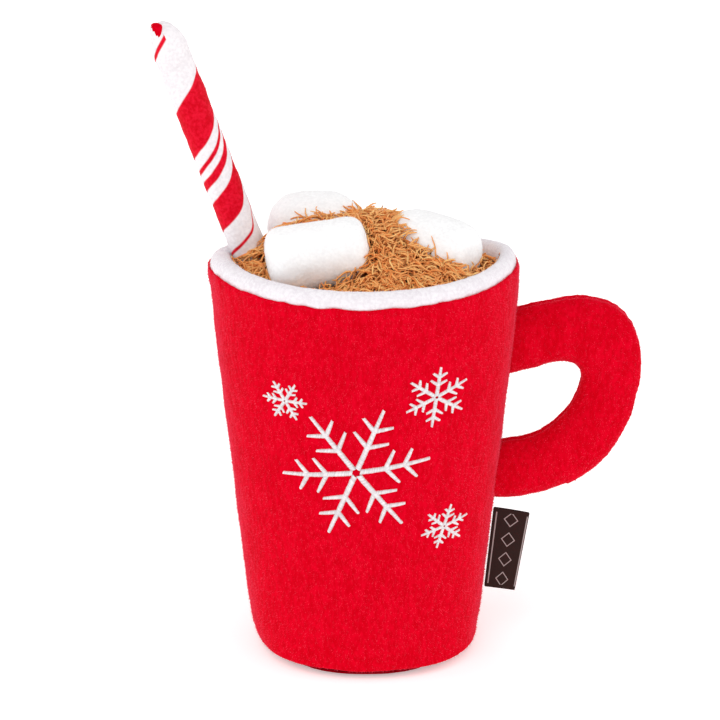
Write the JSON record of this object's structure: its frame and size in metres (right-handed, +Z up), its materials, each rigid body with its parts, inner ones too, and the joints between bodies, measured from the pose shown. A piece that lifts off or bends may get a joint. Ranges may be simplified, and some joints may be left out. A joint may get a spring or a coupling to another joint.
{
  "type": "plush hot chocolate mug toy",
  "caption": "Stuffed red plush mug with a shaggy brown cocoa top, white marshmallow pillows and a leaning red and white striped peppermint stick.",
  "frame": {"origin": "centre of the flat base panel, on the surface the toy stands on", "axes": "+Z up along the mug's axis, +X towards the handle, -Y towards the embroidered front"},
  "size_m": [0.1676, 0.1072, 0.2216],
  "materials": {
    "red_plush": "short velvety pile, bright red",
    "white_plush": "short velvety pile, white",
    "brown_shag": "long curly yarn pile, cocoa brown",
    "striped_plush": "short pile, white with printed red spiral stripes",
    "woven_label": "dark brown woven ribbon, satin"
  },
  "bodies": {
    "root": {"mug_body": "red_plush", "base_panel": "red_plush", "rim_band": "white_plush", "cocoa": "brown_shag", "marshmallow_front": "white_plush", "marshmallow_back": "white_plush", "marshmallow_right": "white_plush", "peppermint_stick": "striped_plush", "handle": "red_plush", "side_label": "woven_label"}
  },
  "joints": []
}
